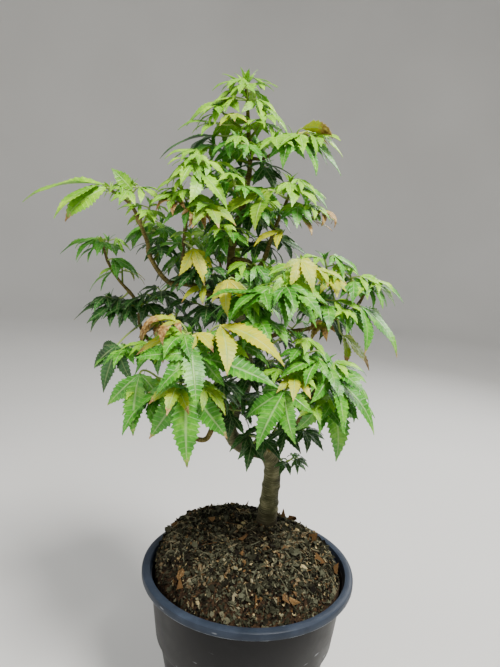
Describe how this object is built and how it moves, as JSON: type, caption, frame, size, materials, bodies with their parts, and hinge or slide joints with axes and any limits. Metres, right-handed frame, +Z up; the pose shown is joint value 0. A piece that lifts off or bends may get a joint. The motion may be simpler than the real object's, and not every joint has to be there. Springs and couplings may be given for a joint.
{
  "type": "potted bonsai plant",
  "caption": "Bonsai-trained leafy plant with a bent trunk and arching palmate serrated leaves, in a round tapered nursery pot heaped with dry leaf litter.",
  "frame": {"origin": "centre of the flat underside of the pot", "axes": "+Z up along the pot's axis, +X to the viewer's right and +Y away from the viewer who faces the plant's front"},
  "size_m": [0.322, 0.2527, 0.5985],
  "materials": {
    "pot_plastic": "satin moulded charcoal plastic",
    "potting_mix": "damp dark potting mix",
    "dry_litter": "crumbled dry leaves",
    "root_bark": "matt root bark",
    "trunk_bark": "olive grey bark with fine cross ridges",
    "branch_bark": "smooth green-brown young bark",
    "leaf_young": "satin bright yellow-green leaf",
    "leaf_mid": "satin mid green leaf",
    "leaf_deep": "satin dark green leaf",
    "leaf_yellow": "yellowing leaf with brown tips"
  },
  "bodies": {
    "root": {"nursery_pot": "pot_plastic", "potting_soil": "potting_mix", "leaf_litter": "dry_litter", "root_crown": "root_bark", "trunk": "trunk_bark", "leader_stem": "branch_bark", "upper_right_branch": "branch_bark", "top_right_twig": "branch_bark", "upper_left_branch": "branch_bark", "inner_left_stem": "branch_bark", "lower_left_branch": "branch_bark", "hooked_branch": "branch_bark", "front_branch": "branch_bark", "lower_right_branch": "branch_bark", "middle_right_branch": "branch_bark", "centre_front_branch": "branch_bark", "back_branch": "branch_bark", "leaf_apex_left": "leaf_young", "leaf_apex_right": "leaf_young", "leaf_tip_left": "leaf_young", "leaf_tip_right": "leaf_young", "leaf_dark_arch": "leaf_deep", "leaf_inner_shoot": "leaf_young", "leaf_inner_front": "leaf_young", "leaf_inner_left": "leaf_young", "leaf_inner_right": "leaf_young", "leaf_far_left": "leaf_young", "leaf_left_twig": "leaf_mid", "leaf_left_twig_inner": "leaf_mid", "leaf_yellow_hanging": "leaf_yellow", "leaf_long_right": "leaf_yellow", "leaf_right_shoot": "leaf_mid", "leaf_brown_tip": "leaf_yellow", "leaf_top_right": "leaf_mid", "leaf_bleached": "leaf_yellow", "leaf_yellow_middle": "leaf_yellow", "leaf_yellow_palmate": "leaf_yellow", "leaf_right_upper": "leaf_mid", "leaf_right_end": "leaf_mid", "leaf_right_droop": "leaf_mid", "leaf_right_yellow": "leaf_yellow", "leaf_centre_shoot": "leaf_mid", "leaf_centre_left": "leaf_mid", "leaf_yellow_pair": "leaf_yellow", "leaf_front_whorl": "leaf_mid", "leaf_big_yellow": "leaf_yellow", "leaf_hanging_front": "leaf_mid", "leaf_blunt_tip": "leaf_mid", "leaf_left_shoot": "leaf_deep", "leaf_dark_left": "leaf_deep", "leaf_front_right_high": "leaf_mid", "leaf_front_right": "leaf_mid", "leaf_lower_right": "leaf_mid", "leaf_under_right": "leaf_mid", "leaf_back_low": "leaf_deep", "leaf_back_right": "leaf_mid", "leaf_back_left": "leaf_mid", "leaf_back_middle": "leaf_mid", "leaf_back_top": "leaf_young", "leaf_back_upper": "leaf_mid"}
  },
  "joints": []
}
